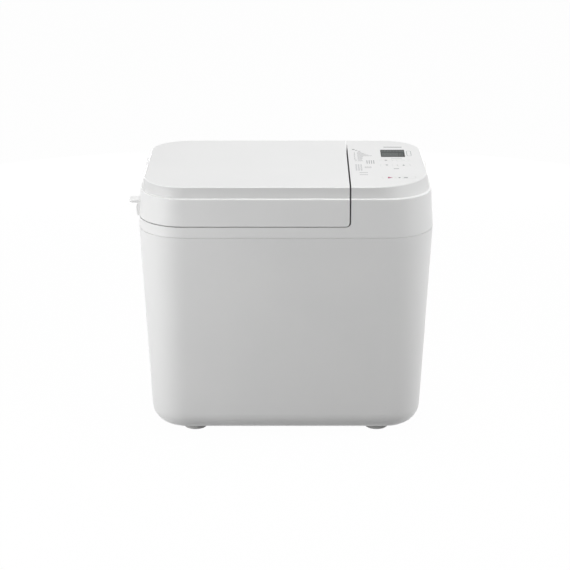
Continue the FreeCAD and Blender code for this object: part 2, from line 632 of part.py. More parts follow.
def make_lid_cover():
    body = new_body("lid_cover")
    cap_outline(body, "cover_cap")
    half_space(body, "cover_trim", LID_RIGHT, "dims.housing_width")
    cap_hollow(body, "cover_hollow", f"{LID_RIGHT} - dims.wall", -1)
    slot = rounded_rectangle(body, "steam_slot", "XZ", "9", "3", "1.4", x="dims.oven_x - 45",
                             y="dims.housing_depth / 2", z="dims.ledge_height + 6")
    repeat(body, pocket(body, slot, "22"), "X", "90", 7)


def make_lid_inside():
    liner = new_body("lid_liner")
    low = "(dims.lid_edge + dims.liner_lift)"
    flange = side_outline(liner, "liner_flange", f"{LID_RIGHT} - dims.wall - 1",
                          "8 - dims.housing_width / 2", "9 - dims.housing_depth / 2",
                          f"{HINGE_Y} - dims.hinge_round - 2", "dims.housing_corner - 8", low)
    pad(liner, flange, "dims.liner_sheet")
    outer = rounded_rectangle(liner, "dome_outer", "XY", "dims.dome_width + 2 * dims.liner_sheet",
                              "dims.dome_depth + 2 * dims.liner_sheet",
                              "dims.dome_corner + dims.liner_sheet", "dims.oven_x", "dims.oven_y", low)
    pad(liner, outer, f"dims.dome_top + dims.liner_sheet - {low}")
    inner = rounded_rectangle(liner, "dome_inner", "XY", "dims.dome_width", "dims.dome_depth",
                              "dims.dome_corner", "dims.oven_x", "dims.oven_y", low)
    pocket(liner, inner, f"dims.dome_top - {low}")
    crown = number("dims.dome_top")
    fillet(liner, "dome_round", "8", lambda box: at_height(box, crown))
    crown_top = number("dims.dome_top + dims.liner_sheet")
    fillet(liner, "dome_round_out", "8 + dims.liner_sheet", lambda box: at_height(box, crown_top))
    holes = circles(liner, "liner_screw_holes", "XY", "dims.screw_hole", LINER_SCREWS, z=low)
    pocket(liner, holes, "dims.liner_sheet + 0.5")
    vent = circle(liner, "steam_vent", "XY", "dims.steam_hole", "dims.oven_x - 45",
                  "dims.oven_y + dims.dome_depth / 2 - 22", "dims.dome_top")
    repeat(liner, pocket(liner, vent, "dims.liner_sheet + 0.5"), "X", "90", 9)

    screws = [screw(f"liner_screw_{i}", x, y, low, "9", "1.4") for i, (x, y) in enumerate(LINER_SCREWS)]
    group("lid_screws", *screws)


def make_hinges():
    along_x = Rotation(Vector(0, 1, 0), 90)
    for name, middle in (("left", "dims.hinge_left"), ("right", "dims.hinge_right")):
        bracket = new_body(f"hinge_bracket_{name}")
        leg = polygon(bracket, f"bracket_leg_{name}", "YZ", [
            (f"{HINGE_Y} - dims.bracket_radius", DECK_TOP), (f"{HINGE_Y} + 6", DECK_TOP),
            (f"{HINGE_Y} + dims.bracket_radius", HINGE_Z), (f"{HINGE_Y} - dims.bracket_radius", HINGE_Z)],
            x=f"{middle} - dims.bracket_width / 2")
        pad(bracket, leg, "dims.bracket_width")
        eye = circle(bracket, f"bracket_eye_{name}", "YZ", "dims.bracket_radius",
                     f"{middle} - dims.bracket_width / 2", HINGE_Y, HINGE_Z)
        pad(bracket, eye, "dims.bracket_width")
        hole = circle(bracket, f"bracket_hole_{name}", "YZ", "dims.pin_radius + dims.running_fit",
                      f"{middle} - dims.bracket_width / 2", HINGE_Y, HINGE_Z)
        pocket(bracket, hole, "dims.bracket_width")
        pin = f"hinge_pin_{name}"
        nodes[pin] = cylinder(pin, "dims.pin_radius", "dims.pin_length",
                              f"{middle} - dims.pin_length / 2", HINGE_Y, HINGE_Z, along_x)


# Oven chamber

OVEN_RIGHT = "(dims.oven_x + dims.oven_width / 2)"
TERMINALS = [(f"dims.oven_y + {s} * dims.terminal_spread", "dims.heater_height") for s in (-1, 1)]


def make_oven():
    body = new_body("oven_chamber")
    low = "(dims.oven_floor - dims.sheet)"
    outer = rounded_rectangle(body, "oven_outer", "XY", "dims.oven_width + 2 * dims.sheet",
                              "dims.oven_depth + 2 * dims.sheet", "dims.oven_corner + dims.sheet",
                              "dims.oven_x", "dims.oven_y", low)
    pad(body, outer, f"{DECK_LOW} - {low}")
    flange = rounded_rectangle(body, "oven_flange", "XY", "dims.oven_width + 2 * dims.oven_flange",
                               "dims.oven_depth + 2 * dims.oven_flange",
                               "dims.oven_corner + dims.oven_flange", "dims.oven_x", "dims.oven_y", DECK_LOW)
    pad(body, flange, "dims.sheet", along=-1)
    inner = rounded_rectangle(body, "oven_inner", "XY", "dims.oven_width", "dims.oven_depth",
                              "dims.oven_corner", "dims.oven_x", "dims.oven_y", DECK_LOW)
    pocket(body, inner, f"{DECK_LOW} - dims.oven_floor", along=-1)
    bearing = circle(body, "oven_bearing_hole", "XY", "dims.bearing_radius + 0.3", "dims.oven_x",
                     "dims.oven_y", low)
    pocket(body, bearing, "dims.sheet + 1")
    ports = circles(body, "heater_ports", "YZ", "dims.tube_radius + 1.5", TERMINALS,
                    x=f"{OVEN_RIGHT} - 1")
    pocket(body, ports, "dims.sheet + 2")
    port = circle(body, "sensor_port", "YZ", "dims.sensor_radius + 0.1", f"{OVEN_RIGHT} - 1",
                  "dims.oven_y - 40", "dims.sensor_height")
    pocket(body, port, "dims.sheet + 2")


def make_heater():
    body = new_body("heater_element")
    path = rounded_rectangle(body, "heater_path", "XY", "dims.heater_width", "dims.heater_depth",
                             "dims.heater_bend", "dims.oven_x", "dims.oven_y", "dims.heater_height")
    section = circle(body, "heater_section", "XZ", "dims.tube_radius",
                     "dims.oven_x - dims.heater_width / 2", "dims.oven_y", "dims.heater_height")
    sweep = body.newObject("PartDesign::AdditivePipe", "heater_sweep")
    sweep.Profile = section
    sweep.Spine = path
    gap = polygon(body, "heater_gap", "XY", [
        (f"{OVEN_RIGHT} - 30", "dims.oven_y - dims.terminal_spread"),
        (f"{OVEN_RIGHT}", "dims.oven_y - dims.terminal_spread"),
        (f"{OVEN_RIGHT}", "dims.oven_y + dims.terminal_spread"),
        (f"{OVEN_RIGHT} - 30", "dims.oven_y + dims.terminal_spread")], z="dims.heater_height")
    pocket(body, gap, "4 * dims.tube_radius", symmetric=True)
    ends = circles(body, "heater_ends", "YZ", "dims.tube_radius", TERMINALS,
                   x="dims.oven_x + dims.heater_width / 2 - dims.tube_radius / 2")
    pad(body, ends, "dims.terminal_reach + dims.tube_radius")

    along_x = Rotation(Vector(0, 1, 0), 90)
    bushes = []
    for index, (y, z) in enumerate(TERMINALS):
        ring_out = cylinder(f"bush_out_{index}", "dims.tube_radius + 4.5", "4", f"{OVEN_RIGHT} + dims.sheet",
                            y, z, along_x)
        ring_in = cylinder(f"bush_in_{index}", "dims.tube_radius + 0.05", "8", f"{OVEN_RIGHT} - 1",
                           y, z, along_x)
        bushes.append(cut(f"heater_bush_{index}", ring_out, ring_in))
    group("heater_bushes", *bushes)

    probe = cylinder("sensor_probe", "dims.sensor_radius", "dims.sensor_reach",
                     f"{OVEN_RIGHT} - dims.sensor_reach + dims.sheet + 3", "dims.oven_y - 40",
                     "dims.sensor_height", along_x)
    collar = cylinder("sensor_collar", "dims.sensor_radius + 4", "3", f"{OVEN_RIGHT} + dims.sheet",
                      "dims.oven_y - 40", "dims.sensor_height", along_x)
    nodes["temperature_sensor"] = fuse("temperature_sensor", probe, collar)


def make_pan_clips():
    clips = []
    for index, side in enumerate((-1, 1)):
        place = f"dims.oven_x + {side} * (dims.pan_foot_radius + 3)"
        base = block(f"clip_base_{index}", "14", "18", "1", f"{place} + {side} * 6", "dims.oven_y",
                     "dims.oven_floor")
        spring = block(f"clip_spring_{index}", "1", "18", "12", f"{place} - {side} * 0.5", "dims.oven_y",
                       "dims.oven_floor")
        clips.append(fuse(f"pan_clip_{index}", base, spring))
    group("pan_clips", *clips)


# Bread pan

def pan_size(side, height):
    """The pan's outer width or depth at a height, from its rim size and draft."""
    return f"(dims.{side} - 2 * (dims.pan_top - ({height})) * tan(dims.pan_draft))"


def make_pan():
    body = new_body("bread_pan")
    outer = rounded_rectangle(body, "pan_outer", "XY", "dims.pan_width", "dims.pan_depth",
                              "dims.pan_corner", "dims.oven_x", "dims.oven_y", "dims.pan_top")
    pad(body, outer, PAN_DROP, along=-1, taper="-dims.pan_draft")
    floor = number("dims.pan_floor")
    fillet(body, "pan_bottom_round", "dims.pan_round", lambda box: at_height(box, floor))
    rim = rounded_rectangle(body, "pan_rim", "XY", "dims.pan_width + 2 * dims.pan_rim",
                            "dims.pan_depth + 2 * dims.pan_rim", "dims.pan_corner + dims.pan_rim",
                            "dims.oven_x", "dims.oven_y", "dims.pan_top")
    pad(body, rim, "dims.rim_thick", along=-1)
    core = doc.addObject("PartDesign::Body", "pan_core")
    inner = rounded_rectangle(core, "pan_inner", "XY", "dims.pan_width - 2 * dims.pan_wall",
                              "dims.pan_depth - 2 * dims.pan_wall", "dims.pan_corner - dims.pan_wall",
                              "dims.oven_x", "dims.oven_y", "dims.pan_top")
    pad(core, inner, f"{PAN_DROP} - dims.pan_wall", along=-1, taper="-dims.pan_draft")
    inside = number("dims.pan_floor + dims.pan_wall")
    fillet(core, "pan_inside_round", "dims.pan_round - dims.pan_wall", lambda box: at_height(box, inside))
    carve(body, core)
    bore = circle(body, "pan_bore", "XY", "dims.bush_radius + dims.running_fit", "dims.oven_x",
                  "dims.oven_y", "dims.pan_floor")
    pocket(body, bore, "dims.pan_wall + 1")

    foot = new_body("pan_base")
    skirt = ring(foot, "base_skirt", "XY", "dims.pan_foot_radius",
                 "dims.pan_foot_radius - dims.pan_foot_wall", "dims.oven_x", "dims.oven_y",
                 "dims.oven_floor + dims.pan_foot_gap")
    pad(foot, skirt, "dims.pan_floor - dims.oven_floor - dims.pan_foot_gap")

    bush = new_body("pan_bearing")
    sleeve = ring(bush, "bush_sleeve", "XY", "dims.bush_radius", "dims.blade_shaft + dims.running_fit",
                  "dims.oven_x", "dims.oven_y", "dims.pan_floor - 2")
    pad(bush, sleeve, "dims.pan_wall + 5")

    seal = new_body("shaft_seal")
    lip = ring(seal, "seal_lip", "XY", "dims.seal_radius", "dims.blade_shaft + dims.running_fit",
               "dims.oven_x", "dims.oven_y", "dims.pan_floor + dims.pan_wall + 3")
    pad(seal, lip, "2")

    ears = []
    for index, side in enumerate((-1, 1)):
        wall = f"dims.oven_x + {side} * ({pan_size('pan_width', 'dims.pivot_height')} / 2 + 2.3)"
        plate = block(f"ear_plate_{index}", "4", "dims.ear_width", "13", wall, "dims.oven_y",
                      "dims.pivot_height - 6.5")
        hole = cylinder(f"ear_hole_{index}", "dims.bail_wire + dims.running_fit", "12",
                        f"{wall} - 6", "dims.oven_y", "dims.pivot_height", Rotation(Vector(0, 1, 0), 90))
        ears.append(cut(f"pan_ear_{index}", plate, hole))
    group("handle_ears", *ears)


def make_handle():
    body = new_body("pan_handle")
    path = new_sketch(body, "bail_path", "XY", "dims.oven_x", "dims.oven_y", "dims.pivot_height")
    path.AttachmentOffset = Placement(Vector(0, 0, 0), Rotation(Vector(1, 0, 0), number("dims.bail_drop")))
    a, d, r = [number(e) for e in ("dims.bail_half", "dims.bail_reach", "dims.bail_bend")]
    inner = number("dims.pan_width / 2 + 1.2")
    path.addGeometry([
        line(-inner, 0, -a, 0), line(-a, 0, -a, r - d), arc(r - a, r - d, r, 180),
        line(r - a, -d, a - r, -d), arc(a - r, r - d, r, -90), line(a, r - d, a, 0),
        line(a, 0, inner, 0)], False)
    tie(path, "Coincident", 0, 2, 1, 1)
    for index in range(1, 5):
        tie(path, "Tangent", index, 2, index + 1, 1)
    tie(path, "Coincident", 5, 2, 6, 1)
    for index, kind in ((0, "Horizontal"), (1, "Vertical"), (3, "Horizontal"), (5, "Vertical"),
                        (6, "Horizontal")):
        tie(path, kind, index)
    tie(path, "Equal", 2, 4)
    rule(path, "Radius", 2, "dims.bail_bend")
    rule(path, "DistanceX", 0, 1, -1, 1, "dims.pan_width / 2 + 1.2")
    rule(path, "DistanceX", -1, 1, 6, 2, "dims.pan_width / 2 + 1.2")
    rule(path, "DistanceX", 1, 1, -1, 1, "dims.bail_half")
    rule(path, "DistanceX", -1, 1, 5, 2, "dims.bail_half")
    rule(path, "DistanceY", 3, 1, -1, 1, "dims.bail_reach")
    tie(path, "PointOnObject", 0, 1, -1)
    tie(path, "PointOnObject", 6, 2, -1)
    section = circle(body, "bail_section", "YZ", "dims.bail_wire",
                     "dims.oven_x - dims.pan_width / 2 - 1.2", "dims.oven_y", "dims.pivot_height")
    sweep = body.newObject("PartDesign::AdditivePipe", "bail_sweep")
    sweep.Profile = section
    sweep.Spine = path
    sweep.Transition = "Round corner"

    drop = "dims.bail_drop * 1 deg"
    bar_y = f"(dims.oven_y - dims.bail_reach * cos({drop}))"
    bar_z = f"(dims.pivot_height - dims.bail_reach * sin({drop}))"
    grip = new_body("handle_grip")
    sleeve = ring(grip, "grip_sleeve", "YZ", "dims.bail_grip", "dims.bail_wire + dims.running_fit",
                  "dims.oven_x - dims.bail_grip_length / 2", bar_y, bar_z)
    pad(grip, sleeve, "dims.bail_grip_length")
    ends = [number(f"dims.oven_x + {SHIFT} + {s} * dims.bail_grip_length / 2") for s in (-1, 1)]
    wire = number("dims.bail_wire + 1")
    fillet(grip, "grip_round", "1.5", lambda box: box.YLength > 2 * wire
           and min(abs(box.XMin - end) + abs(box.XMax - end) for end in ends) < 0.02)


# Kneading blade and drive

def make_blade():
    shaft = new_body("blade_shaft")
    rod = circle(shaft, "blade_rod", "XY", "dims.blade_shaft", "dims.oven_x", "dims.oven_y",
                 "dims.pan_floor - 9")
    pad(shaft, rod, "dims.blade_high - 2 - dims.pan_floor + 9")
    crown = number("dims.blade_high - 2")
    fillet(shaft, "blade_rod_round", "1.5", lambda box: at_height(box, crown))

    body = new_body("kneading_blade")
    hub = circle(body, "blade_hub", "XY", "dims.blade_hub", "dims.oven_x", "dims.oven_y", "dims.blade_low")
    pad(body, hub, "dims.blade_high - dims.blade_low", taper="-2")
    fin = polygon(body, "blade_fin", "XZ", [
        ("0", "dims.blade_low"), ("dims.blade_reach - 4", "dims.blade_low"),
        ("dims.blade_reach", "dims.blade_low + 5"), ("dims.blade_reach - 6", "dims.blade_low + 22"),
        ("dims.blade_hub + 6", "dims.blade_high - 6"), ("0", "dims.blade_high - 3")],
        "dims.oven_x", "dims.oven_y", "0")
    pad(body, fin, "dims.blade_thick", symmetric=True)
    high = number("dims.blade_high")
    fillet(body, "blade_crown", "3", lambda box: at_height(box, high))
    bore = circle(body, "blade_bore", "XY", "dims.blade_bore", "dims.oven_x", "dims.oven_y",
                  "dims.blade_low")
    pocket(body, bore, "dims.blade_high - dims.blade_low + 2")

    wing = new_body("pan_coupling")
    bar = rounded_rectangle(wing, "coupling_bar", "XY", "6", "2 * dims.dog_radius", "2.9", "dims.oven_x",
                            "dims.oven_y", "dims.pan_floor - 9")
    pad(wing, bar, "6")
    hub = circle(wing, "coupling_hub", "XY", "7.5", "dims.oven_x", "dims.oven_y", "dims.pan_floor - 9")
    pad(wing, hub, "6")
    hole = circle(wing, "coupling_hole", "XY", "dims.blade_shaft + dims.running_fit", "dims.oven_x",
                  "dims.oven_y", "dims.pan_floor - 9")
    pocket(wing, hole, "6")


def make_drive():
    shaft = new_body("drive_shaft")
    rod = circle(shaft, "drive_rod", "XY", "dims.drive_shaft", "dims.oven_x", "dims.oven_y",
                 "dims.pulley_low - 3")
    pad(shaft, rod, "dims.oven_floor + 2.5 - dims.pulley_low + 3")

    dog = new_body("drive_coupling")
    disc = circle(dog, "dog_disc", "XY", "dims.dog_radius + 3", "dims.oven_x", "dims.oven_y",
                  "dims.oven_floor + 2.5")
    pad(dog, disc, "3")
    prongs = circles(dog, "dog_prongs", "XY", "3", [(f"{s} * (dims.dog_radius - 1)", "0") for s in (-1, 1)],
                     "dims.oven_x", "dims.oven_y", "dims.oven_floor + 5")
    pad(dog, prongs, "9")

    bearing = new_body("drive_bearing")
    tube = ring(bearing, "bearing_tube", "XY", "dims.bearing_radius", "dims.drive_shaft + dims.running_fit",
                "dims.oven_x", "dims.oven_y", "dims.chassis_low + dims.chassis_thick")
    pad(bearing, tube, "dims.oven_floor + 1.5 - dims.chassis_low - dims.chassis_thick")

    pulley = new_body("drive_pulley")
    disc = circle(pulley, "pulley_disc", "XY", "dims.pulley_radius", "dims.oven_x", "dims.oven_y",
                  "dims.pulley_low")
    pad(pulley, disc, "dims.pulley_high - dims.pulley_low")
    web = ring(pulley, "pulley_web", "XY", "dims.pulley_radius - 4", "14", "dims.oven_x", "dims.oven_y",
               "dims.pulley_high")
    pocket(pulley, web, "dims.pulley_high - dims.pulley_low - 4", along=-1)
    around = [(f"33 * cos({turn} deg)", f"33 * sin({turn} deg)") for turn in range(0, 360, 60)]
    windows = circles(pulley, "pulley_windows", "XY", "12", around, "dims.oven_x", "dims.oven_y",
                      "dims.pulley_low")
    pocket(pulley, windows, "10")
    bore = circle(pulley, "pulley_bore", "XY", "dims.drive_shaft + dims.running_fit", "dims.oven_x",
                  "dims.oven_y", "dims.pulley_low")
    pocket(pulley, bore, "dims.pulley_high - dims.pulley_low")


def belt_outline(body, name, extra, level):
    """The loop round the two pulleys: two arcs and the two straight runs that touch them."""
    big, small = f"(dims.pulley_radius + {extra})", f"(dims.motor_pulley + {extra})"
    span = "(dims.motor_x - dims.oven_x)"
    sketch = new_sketch(body, name, "XY", "dims.oven_x", "dims.oven_y", level)
    br, sr, length = number(big), number(small), number(span)
    lean = math.acos((br - sr) / length)
    top = (br * math.cos(lean), br * math.sin(lean))
    end = (length + sr * math.cos(lean), sr * math.sin(lean))
    turn = math.degrees(lean)
    sketch.addGeometry([
        arc(0, 0, br, turn, 360 - 2 * turn), line(top[0], -top[1], end[0], -end[1]),
        arc(length, 0, sr, -turn, 2 * turn), line(end[0], end[1], top[0], top[1])], False)
    tie(sketch, "Coincident", 0, 3, -1, 1)
    tie(sketch, "Tangent", 0, 2, 1, 1)
    tie(sketch, "Tangent", 1, 2, 2, 1)
    tie(sketch, "Tangent", 2, 2, 3, 1)
    tie(sketch, "Tangent", 3, 2, 0, 1)
    tie(sketch, "PointOnObject", 2, 3, -1)
    rule(sketch, "Radius", 0, big)
    rule(sketch, "Radius", 2, small)
    rule(sketch, "DistanceX", -1, 1, 2, 3, span)
    return sketch


def make_belt():
    body = new_body("drive_belt")
    height = "(dims.pulley_high - dims.pulley_low - 5)"
    outer = belt_outline(body, "belt_outer", "dims.belt_gap + dims.belt_thick", "dims.pulley_low + 2.5")
    pad(body, outer, height)
    inner = belt_outline(body, "belt_inner", "dims.belt_gap", "dims.pulley_low + 2.5")
    pocket(body, inner, height)


CHASSIS_LEGS = [("-96", "-62"), ("-96", "52"), ("150", "-60"), ("150", "50"), ("62", "-60"), ("62", "50")]
MOTOR_BOLTS = [(f"dims.motor_x + {sx} * 30", f"dims.motor_y + {sy} * 34")
               for sx in (-1, 1) for sy in (-1, 1)]


def make_chassis():
    body = new_body("chassis_plate")
    plate = rounded_rectangle(body, "chassis_outline", "XY", "290", "132", "10", "17", "-5",
                              "dims.chassis_low")
    pad(body, plate, "dims.chassis_thick")
    legs = circles(body, "chassis_legs", "XY", "dims.leg_radius", CHASSIS_LEGS,
                   z="dims.foot_height + dims.wall")
    pad(body, legs, "dims.chassis_low - dims.foot_height - dims.wall")
    bearing = circle(body, "chassis_bearing_hole", "XY", "dims.drive_shaft + 1", "dims.oven_x",
                     "dims.oven_y", "dims.chassis_low")
    pocket(body, bearing, "dims.chassis_thick")
    motor = circle(body, "chassis_motor_hole", "XY", "dims.motor_shaft + 4", "dims.motor_x",
                   "dims.motor_y", "dims.chassis_low")
    pocket(body, motor, "dims.chassis_thick")
    bolts = circles(body, "chassis_bolt_holes", "XY", "dims.screw_hole", MOTOR_BOLTS, z="dims.chassis_low")
    pocket(body, bolts, "dims.chassis_thick")


def make_motor():
    body = new_body("motor_housing")
    flange = rounded_rectangle(body, "motor_flange", "XY", "76", "84", "8", "dims.motor_x", "dims.motor_y",
                               "dims.chassis_low + dims.chassis_thick")
    pad(body, flange, "dims.motor_low - dims.chassis_low - dims.chassis_thick")
    can = circle(body, "motor_can", "XY", "dims.motor_radius", "dims.motor_x", "dims.motor_y",
                 "dims.motor_low")
    pad(body, can, "dims.motor_high - dims.motor_low")
    high = number("dims.motor_high")
    fillet(body, "motor_round", "5", lambda box: at_height(box, high))
    bore = circle(body, "motor_bore", "XY", "dims.motor_shaft + dims.running_fit", "dims.motor_x",
                  "dims.motor_y", "dims.chassis_low + dims.chassis_thick")
    pocket(body, bore, "dims.motor_high - dims.chassis_low")
    bolts = circles(body, "motor_bolt_holes", "XY", "dims.screw_hole", MOTOR_BOLTS,
                    z="dims.chassis_low + dims.chassis_thick")
    pocket(body, bolts, "dims.motor_low - dims.chassis_low - dims.chassis_thick")

    shaft = new_body("motor_shaft")
    rod = circle(shaft, "motor_rod", "XY", "dims.motor_shaft", "dims.motor_x", "dims.motor_y",
                 "dims.pulley_low - 2")
    pad(shaft, rod, "dims.motor_high + 16 - dims.pulley_low + 2")

    pulley = new_body("motor_pulley")
    disc = ring(pulley, "motor_pulley_disc", "XY", "dims.motor_pulley",
                "dims.motor_shaft + dims.running_fit", "dims.motor_x", "dims.motor_y", "dims.pulley_low")
    pad(pulley, disc, "dims.pulley_high - dims.pulley_low")

    fan = new_body("motor_fan")
    hub = ring(fan, "fan_hub", "XY", "11", "dims.motor_shaft + dims.running_fit", "dims.motor_x",
               "dims.motor_y", "dims.motor_high + 3")
    pad(fan, hub, "11")
    blade = polygon(fan, "fan_blade", "XY", [("8", "-1"), ("32", "-1"), ("32", "1"), ("8", "1")],
                    "dims.motor_x", "dims.motor_y", "dims.motor_high + 3")
    first = pad(fan, blade, "11")
    wheel = fan.newObject("PartDesign::PolarPattern", "fan_wheel")
    wheel.Originals = [first]
    wheel.Axis = (hub, ["N_Axis"])
    wheel.Angle = 360
    wheel.Occurrences = 8
    fan.Tip = wheel

    head = "(dims.motor_low)"
    bolts = [screw(f"motor_bolt_{i}", x, y, head, "10", head_up=True)
             for i, (x, y) in enumerate(MOTOR_BOLTS)]
    group("motor_bolts", *bolts)

    nodes["run_capacitor"] = cylinder("run_capacitor", "13", "46", "72", "-46",
                                      "dims.chassis_low + dims.chassis_thick")


def make_gland():
    body = new_body("cord_gland")
    collar = ring(body, "gland_collar", "XZ", "dims.gland_radius - 0.05", "dims.gland_bore",
                  "dims.gland_x", "dims.housing_depth / 2 - 11.2", "dims.gland_height")
    pad(body, collar, "8")


make_body_shell()
make_underside()
make_top_frame()
make_control_panel()
make_panel_inside()
make_lid_frame()
make_lid_cover()
make_lid_inside()
make_hinges()
make_oven()
make_heater()
make_pan_clips()
make_pan()
make_handle()
make_blade()
make_drive()
make_belt()
make_chassis()
make_motor()
make_gland()
doc.recompute()

# Check every object, then write one STEP file for each node.
for thing in doc.Objects:
    if "Invalid" in thing.State or "Error" in thing.State:
        raise RuntimeError(f"{thing.Name} is {thing.State}")
os.makedirs("parts", exist_ok=True)
for name, thing in nodes.items():
    if thing.Shape.isNull() or not thing.Shape.isValid():
        raise RuntimeError(f"{name} has no valid shape")
    thing.Shape.exportStep(f"parts/{name}.step")
print(len(nodes), "nodes written")
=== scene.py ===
import json
import math

import bmesh
import bpy
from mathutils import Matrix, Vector
from mathutils.geometry import tessellate_polygon


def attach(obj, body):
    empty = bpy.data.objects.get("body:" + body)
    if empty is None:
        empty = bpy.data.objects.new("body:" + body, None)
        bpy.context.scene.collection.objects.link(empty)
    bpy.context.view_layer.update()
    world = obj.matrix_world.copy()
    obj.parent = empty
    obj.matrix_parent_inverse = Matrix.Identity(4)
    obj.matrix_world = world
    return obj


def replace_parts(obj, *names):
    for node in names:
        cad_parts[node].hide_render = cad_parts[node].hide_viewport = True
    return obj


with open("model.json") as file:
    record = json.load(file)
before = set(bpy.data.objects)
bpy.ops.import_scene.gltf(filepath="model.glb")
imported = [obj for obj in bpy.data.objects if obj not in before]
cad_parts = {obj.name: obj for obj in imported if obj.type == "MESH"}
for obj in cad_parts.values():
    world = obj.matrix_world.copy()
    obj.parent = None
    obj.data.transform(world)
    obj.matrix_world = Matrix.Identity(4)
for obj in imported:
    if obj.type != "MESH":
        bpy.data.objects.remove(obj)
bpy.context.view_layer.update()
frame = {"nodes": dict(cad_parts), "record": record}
scene = bpy.context.scene


# Sizes in millimetres, from the middle of the housing on the floor

MM = 0.001
# The housing stands to the right of the middle by half of the lid grip's reach
SHIFT = 6.0

# The cap: its top, its ledge, and where its edges stand
PANEL_TOP = 359.6
LEDGE = 344.8
FRONT, BACK, SIDE = -116.9, 116.4, 191.7
LEFT_CORNER, RIGHT_CORNER, FOOT_CORNER = 58.0, 78.0, 57.0
REAR_X, REAR_Y, REAR_WIDE, REAR_DEEP = 135.4, 64.4, 53.2, 52.0
LID_END, PANEL_END = 84.4, 86.4
ROUND, LEAN, WALL = 1.6, 1.95, 3.0
# The rounded edge turns this many degrees from the flat top to the leaning band
EDGE_TURN = 82

# How the covers sit: above the ledge, above and behind the solid cap, and how far in they reach
SEAT = 0.02
PROUD, PAST_REAR = 0.03, 0.05
TOP_REACH, FOOT_REACH = 12.0, 10.0

# The band on the cap's side that gets painted shade, and how far the painted shade of the split goes past
# its walls
BAND_LOW, BAND_HIGH = LEDGE + 0.5, PANEL_TOP - 1.4
SPLIT_PAST = 0.05

# The control panel: keys, display and lamp
KEYS = ("menu", "option", "down", "up", "start", "stop")
KEY_TOP, KEY_EDGE = 359.7, 359.0
KEY_WIDE, KEY_DEEP, KEY_ROUND = 17.5, 10.5, 2.75
DISPLAY_X, DISPLAY_Y, DISPLAY_SIDE = 148.8, 48.9, 33.54
LAMP_X, LAMP_Y, LAMP_RADIUS = 152.5, -71.6, 1.62

# Printed film: how far it is sunk and how far it stands out
SUNK, INK_HEIGHT = 0.03, 0.06
# Plain numbers: width, depth and line, on the display and in the program list
TIME_DIGIT = (4.2, 10.4, 0.9)
LIST_DIGIT = (0.9, 2.2, 0.34)
# How far apart two digits stand, in widths, and how much a stroke is cut short, in lines
DIGIT_STEP, STROKE_CUT = 1.7, 0.6

# The camera: its place, how many degrees it looks down, and its lens on its sensor
CAMERA_PLACE = (-1.35, -2833.0, 1169.03)
CAMERA_DOWN = 19.21
LENS, SENSOR = 135.14, 36.0

# In metres: where the lamps aim, and how far the floor reaches each way
AIM = Vector((0, 0, 0.2))
FLOOR_REACH = 6.0


def mm(x, y, z):
    """A point given in millimetres from the middle of the housing."""
    return Vector(((x + SHIFT) * MM, y * MM, z * MM))


# Materials

def new_material(name):
    material = bpy.data.materials.new(name)
    material.use_nodes = True
    nodes = material.node_tree.nodes
    nodes.clear()
    output = nodes.new("ShaderNodeOutputMaterial")
    shader = nodes.new("ShaderNodeBsdfPrincipled")
    material.node_tree.links.new(shader.outputs["BSDF"], output.inputs["Surface"])
    return material, shader


def add_node(material, kind, **inputs):
    node = material.node_tree.nodes.new(kind)
    for name, value in inputs.items():
        node.inputs[name.replace("_", " ")].default_value = value
    return node


def wire(material, source, target):
    material.node_tree.links.new(source, target)


def noise(material, scale, detail=3.0, stretch=(1, 1, 1)):
    """Noise in object space, so that its size is in metres and it stays with the piece."""
    place = add_node(material, "ShaderNodeTexCoord")
    turn = add_node(material, "ShaderNodeMapping")
    turn.inputs["Scale"].default_value = stretch
    texture = add_node(material, "ShaderNodeTexNoise", Scale=scale, Detail=detail)
    wire(material, place.outputs["Object"], turn.inputs["Vector"])
    wire(material, turn.outputs["Vector"], texture.inputs["Vector"])
    return texture.outputs["Fac"]


def between(material, factor, low, high, from_low=0.3, from_high=0.7):
    """Map a factor from one range to another."""
    step = add_node(material, "ShaderNodeMapRange")
    ends = (("From Min", from_low), ("From Max", from_high), ("To Min", low), ("To Max", high))
    for name, value in ends:
        step.inputs[name].default_value = value
    wire(material, factor, step.inputs["Value"])
    return step.outputs["Result"]


def tint(material, shader, factor, low, high, start=0.35, end=0.65):
    """Colour the surface from low to high as the factor goes from start to end."""
    ramp = add_node(material, "ShaderNodeValToRGB")
    for stop, position, colour in zip(ramp.color_ramp.elements, (start, end), (low, high)):
        stop.position = position
        stop.color = (*colour, 1)
    wire(material, factor, ramp.inputs["Fac"])
    wire(material, ramp.outputs["Color"], shader.inputs["Base Color"])


def bump(material, shader, height, strength, distance):
    node = add_node(material, "ShaderNodeBump", Strength=strength, Distance=distance)
    wire(material, height, node.inputs["Height"])
    wire(material, node.outputs["Normal"], shader.inputs["Normal"])


def plastic(name, low, high, roughness, grain=1400.0, depth=0.00002, gloss=0.0, shine=0.5):
    """Moulded plastic: a faint cloudiness in the colour and a fine satin grain."""
    material, shader = new_material(name)
    cloud = noise(material, 9.0, 4.0)
    tint(material, shader, cloud, low, high)
    fine = noise(material, grain, 2.0)
    wire(material, between(material, fine, roughness - 0.04, roughness + 0.05), shader.inputs["Roughness"])
    bump(material, shader, fine, 0.35, depth)
    shader.inputs["IOR"].default_value = 1.49
    shader.inputs["Specular IOR Level"].default_value = shine
    shader.inputs["Coat Weight"].default_value = gloss
    shader.inputs["Coat Roughness"].default_value = 0.36
    return material


def metal(name, low, high, roughness, stretch=(1, 1, 1), scale=300.0):
    """Metal with drawn or brushed lines, or an even grain where stretch is 1, 1, 1."""
    material, shader = new_material(name)
    lines = noise(material, scale, 4.0, stretch)
    tint(material, shader, lines, low, high)
    wire(material, between(material, lines, roughness - 0.06, roughness + 0.08), shader.inputs["Roughness"])
    bump(material, shader, lines, 0.3, 0.00002)
    shader.inputs["Metallic"].default_value = 1.0
    return material


